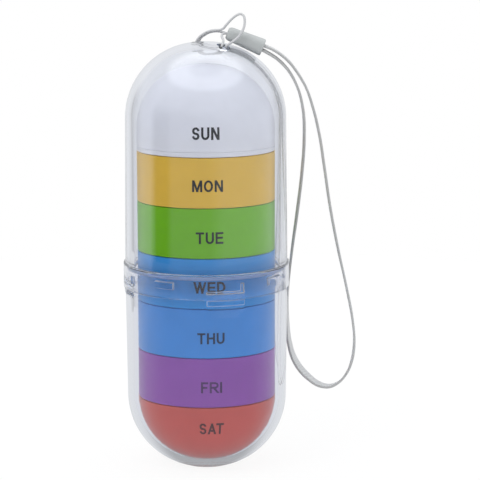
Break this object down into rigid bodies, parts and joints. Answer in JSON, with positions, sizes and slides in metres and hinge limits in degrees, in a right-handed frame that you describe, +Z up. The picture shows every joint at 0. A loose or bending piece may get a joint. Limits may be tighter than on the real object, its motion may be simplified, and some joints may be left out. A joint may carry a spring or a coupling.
{
  "type": "pill tube",
  "caption": "Clear capsule-shaped pill tube with a twist closure, a stack of coloured day trays and a wrist strap on a string.",
  "frame": {"origin": "centre of the flat foot that the tube stands on", "axes": "+Z up along the tube, -Y to the front with the day names, +X towards the strap"},
  "size_m": [0.0739, 0.0518, 0.1426],
  "materials": {
    "clear_shell": "clear polystyrene, polished",
    "red_tray": "moulded polypropylene, satin",
    "purple_tray": "moulded polypropylene, satin",
    "light_blue_tray": "moulded polypropylene, satin",
    "blue_tray": "moulded polypropylene, satin",
    "green_tray": "moulded polypropylene, satin",
    "yellow_tray": "moulded polypropylene, satin",
    "white_tray": "moulded polypropylene, satin",
    "seal": "pale silicone rubber",
    "string": "twisted nylon string",
    "ferrule": "moulded plastic, matt",
    "strap": "woven nylon tape"
  },
  "bodies": {
    "lower_case": {"lower_case": "clear_shell"},
    "saturday_tray": {"saturday_tray": "red_tray"},
    "friday_tray": {"friday_tray": "purple_tray"},
    "thursday_tray": {"thursday_tray": "light_blue_tray"},
    "wednesday_tray": {"wednesday_tray": "blue_tray"},
    "tuesday_tray": {"tuesday_tray": "green_tray"},
    "monday_tray": {"monday_tray": "yellow_tray"},
    "sunday_tray": {"sunday_tray": "white_tray"},
    "dome_lid": {"dome_lid": "white_tray"},
    "seal_ring": {"seal_ring": "seal"},
    "upper_case": {"upper_case": "clear_shell", "loop_cord": "string", "ferrule": "ferrule", "wrist_strap": "strap"}
  },
  "joints": [
    {"name": "saturday_lift", "type": "slide", "parent": "lower_case", "child": "saturday_tray", "axis": [0, 0, 1], "range_m": [0, 0.065]},
    {"name": "friday_lift", "type": "slide", "parent": "saturday_tray", "child": "friday_tray", "axis": [0, 0, 1], "range_m": [0, 0.02]},
    {"name": "thursday_lift", "type": "slide", "parent": "friday_tray", "child": "thursday_tray", "axis": [0, 0, 1], "range_m": [0, 0.02]},
    {"name": "wednesday_lift", "type": "slide", "parent": "thursday_tray", "child": "wednesday_tray", "axis": [0, 0, 1], "range_m": [0, 0.02]},
    {"name": "tuesday_lift", "type": "slide", "parent": "wednesday_tray", "child": "tuesday_tray", "axis": [0, 0, 1], "range_m": [0, 0.02]},
    {"name": "monday_lift", "type": "slide", "parent": "tuesday_tray", "child": "monday_tray", "axis": [0, 0, 1], "range_m": [0, 0.02]},
    {"name": "sunday_lift", "type": "slide", "parent": "monday_tray", "child": "sunday_tray", "axis": [0, 0, 1], "range_m": [0, 0.02]},
    {"name": "lid_lift", "type": "slide", "parent": "sunday_tray", "child": "dome_lid", "axis": [0, 0, 1], "range_m": [0, 0.025]},
    {"name": "case_lift", "type": "slide", "parent": "dome_lid", "child": "seal_ring", "axis": [0, 0, 1], "range_m": [0, 0.075]},
    {"name": "case_twist", "type": "hinge", "parent": "seal_ring", "child": "upper_case", "pos_m": [0, 0, 0.0602], "axis": [0, 0, 1], "range_deg": [-48, 22]}
  ]
}
